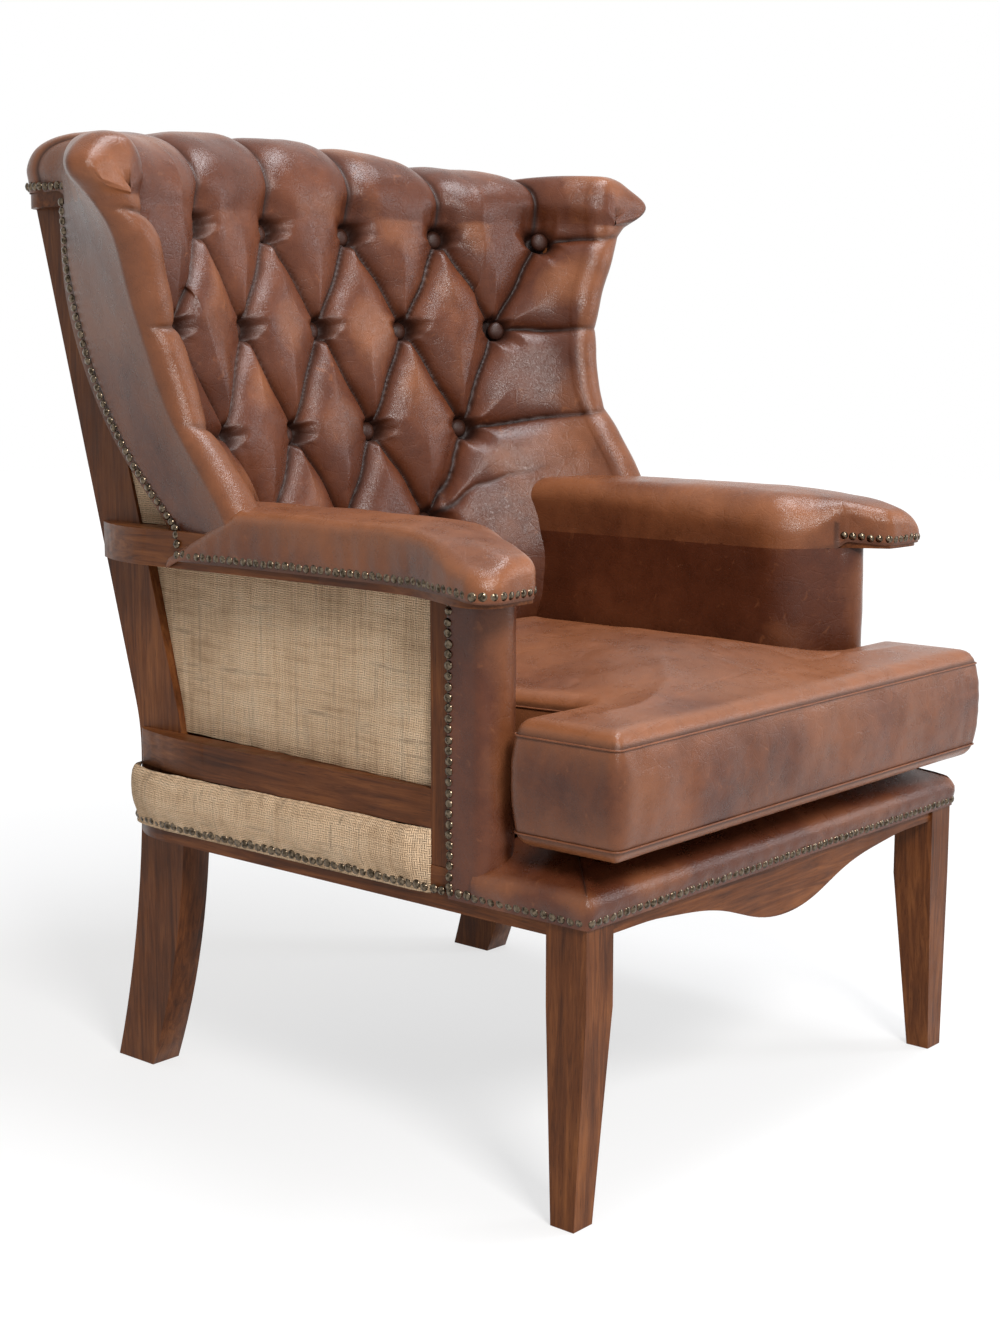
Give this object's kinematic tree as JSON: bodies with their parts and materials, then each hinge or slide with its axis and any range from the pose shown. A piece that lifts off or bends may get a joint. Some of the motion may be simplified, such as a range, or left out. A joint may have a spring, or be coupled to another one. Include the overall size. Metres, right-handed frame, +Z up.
{
  "type": "wingback armchair",
  "caption": "Show-wood wingback armchair with a deep-buttoned leather back, paddle arms and a loose seat cushion.",
  "frame": {"origin": "on the floor, under the middle of the chair's bounding box", "axes": "+Z up, -Y towards the front of the chair, +X to the right of someone who looks at its front"},
  "size_m": [0.8982, 0.8673, 1.063],
  "materials": {
    "dark_wood": "satin",
    "frame_wood": "matte",
    "brown_leather": "semi-gloss",
    "hessian": "matte",
    "webbing": "matte",
    "black_cloth": "matte",
    "steel": "satin"
  },
  "bodies": {
    "chair": {"front_seat_rail": "dark_wood", "rear_seat_rail": "dark_wood", "lower_back_rail": "dark_wood", "crest_rail": "dark_wood", "corner_blocks": "frame_wood", "corner_block_screws": "steel", "lap_dowels": "frame_wood", "webbing_lengthwise": "webbing", "webbing_crosswise": "webbing", "back_webbing": "webbing", "dust_cover": "black_cloth", "platform_front": "brown_leather", "seat_deck": "hessian", "inside_back": "brown_leather", "crest_roll": "brown_leather", "back_buttons": "brown_leather", "outside_back_hessian": "hessian", "rear_seat_hessian": "hessian", "front_leg_left": "dark_wood", "front_leg_right": "dark_wood", "back_post_left": "dark_wood", "back_post_right": "dark_wood", "side_seat_rail_left": "dark_wood", "side_seat_rail_right": "dark_wood", "lower_arm_rail_left": "dark_wood", "lower_arm_rail_right": "dark_wood", "arm_post_left": "dark_wood", "arm_post_right": "dark_wood", "arm_rail_left": "dark_wood", "arm_rail_right": "dark_wood", "wing_frame_left": "dark_wood", "wing_frame_right": "dark_wood", "arm_pad_left": "brown_leather", "arm_pad_right": "brown_leather", "inside_arm_left": "brown_leather", "inside_arm_right": "brown_leather", "outside_arm_hessian_left": "hessian", "outside_arm_hessian_right": "hessian", "side_seat_hessian_left": "hessian", "side_seat_hessian_right": "hessian", "wing_hessian_left": "hessian", "wing_hessian_right": "hessian"},
    "seat_cushion": {"seat_cushion": "brown_leather"}
  },
  "joints": [
    {"name": "cushion_lift", "type": "slide", "parent": "chair", "child": "seat_cushion", "axis": [0, -0.5, 0.866], "range_m": [0, 0.42]}
  ]
}
